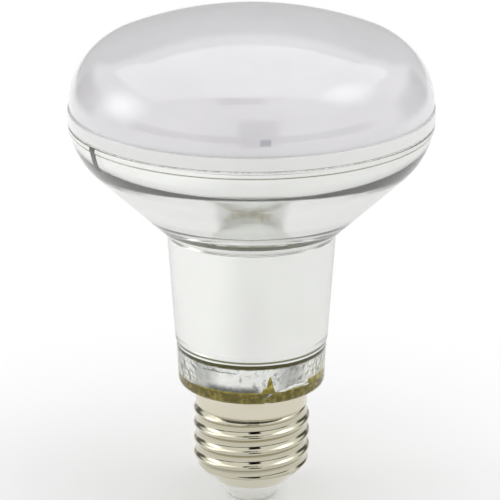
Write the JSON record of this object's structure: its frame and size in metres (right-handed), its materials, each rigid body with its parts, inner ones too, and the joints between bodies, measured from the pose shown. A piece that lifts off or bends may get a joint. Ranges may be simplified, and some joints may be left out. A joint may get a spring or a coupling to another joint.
{
  "type": "reflector bulb",
  "caption": "Screw-cap reflector bulb: hazy domed lens on a mirrored glass cone and neck, with an LED light source, driver and nickel screw cap inside and below.",
  "frame": {"origin": "centre of the centre contact's flat face, at the cap's end", "axes": "+Z along the lamp's axis from the cap to the lens; the thread's upper run-out faces -Y"},
  "size_m": [0.08, 0.08, 0.1126],
  "materials": {
    "lens_satin": "hazy inside, glossy outside",
    "clear_seal": "clear silicone bead",
    "mirrored_glass": "clear glass with a mirror coat on its inside",
    "olive_cement": "translucent olive adhesive",
    "nickel": "bright nickel plate on brass",
    "white_insulator": "milky white",
    "contact_metal": "nickel-plated",
    "housing_white": "moulded",
    "drawn_aluminium": "drawn, satin",
    "white_board": "white solder mask on aluminium",
    "emitter_yellow": "phosphor gel in a white frame",
    "screw_steel": "zinc-plated",
    "board_green": "glass-fibre board",
    "can_sleeve": "shrunk sleeve on an aluminium can",
    "film_yellow": "epoxy-filled box",
    "ferrite": "ferrite with a varnished winding",
    "chip_black": "moulded epoxy with tinned pins",
    "fuse_grey": "coated film resistor",
    "lead_red": "insulated wire",
    "lead_black": "insulated wire",
    "lead_white": "insulated wire"
  },
  "bodies": {
    "root": {"front_lens": "lens_satin", "lens_seal": "clear_seal", "glass_reflector": "mirrored_glass", "neck_cement": "olive_cement", "cap_shell": "nickel", "cap_insulator": "white_insulator", "centre_contact": "contact_metal", "driver_housing": "housing_white", "heat_sink_cup": "drawn_aluminium", "led_board": "white_board", "led_emitters": "emitter_yellow", "board_screws": "screw_steel", "driver_board": "board_green", "smoothing_capacitor": "can_sleeve", "film_capacitor": "film_yellow", "filter_choke": "ferrite", "power_inductor": "ferrite", "bridge_rectifier": "chip_black", "driver_chip": "chip_black", "fuse_resistor": "fuse_grey", "led_lead_positive": "lead_red", "led_lead_negative": "lead_black", "shell_lead": "lead_white", "contact_lead": "lead_white"}
  },
  "joints": []
}
